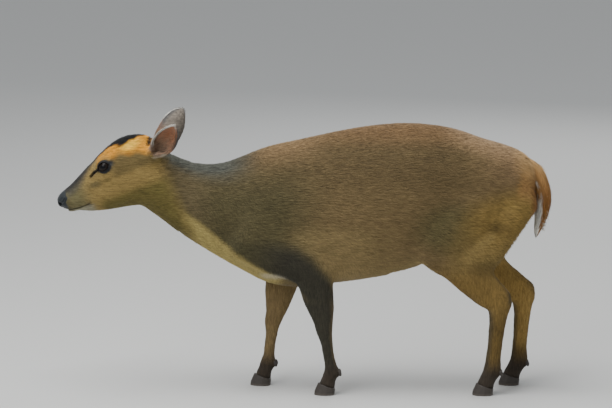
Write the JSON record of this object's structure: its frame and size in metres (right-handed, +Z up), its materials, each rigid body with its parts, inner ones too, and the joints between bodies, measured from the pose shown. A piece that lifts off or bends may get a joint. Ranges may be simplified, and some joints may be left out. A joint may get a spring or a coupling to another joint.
{
  "type": "muntjac deer model",
  "caption": "Still life-size model of a female muntjac deer in mid step, head low and forward, with cupped ears, short tail and cloven hooves.",
  "frame": {"origin": "on the floor, at the middle of the part's outline seen from above", "axes": "+X towards the tail, so the nose points to -X; +Y to the animal's right; +Z up"},
  "size_m": [0.865, 0.1738, 0.4935],
  "materials": {
    "body_coat": "matt short fur",
    "neck_coat": "matt short fur",
    "head_coat": "matt very short fur",
    "leg_coat": "matt short fur",
    "ear_coat": "thin skin with very short fur",
    "tail_coat": "longer soft hair",
    "nose_leather": "moist bare skin",
    "hoof_horn": "satin horn",
    "eye_glass": "wet gloss"
  },
  "bodies": {
    "root": {"torso": "body_coat", "neck": "neck_coat", "head": "head_coat", "nose": "nose_leather", "eye_left": "eye_glass", "eye_right": "eye_glass", "ear_left": "ear_coat", "ear_right": "ear_coat", "foreleg_left": "leg_coat", "foreleg_right": "leg_coat", "hindleg_left": "leg_coat", "hindleg_right": "leg_coat", "tail": "tail_coat", "hoof_fore_left_outer": "hoof_horn", "hoof_fore_left_inner": "hoof_horn", "hoof_fore_right_outer": "hoof_horn", "hoof_fore_right_inner": "hoof_horn", "hoof_hind_left_outer": "hoof_horn", "hoof_hind_left_inner": "hoof_horn", "hoof_hind_right_outer": "hoof_horn", "hoof_hind_right_inner": "hoof_horn"}
  },
  "joints": []
}
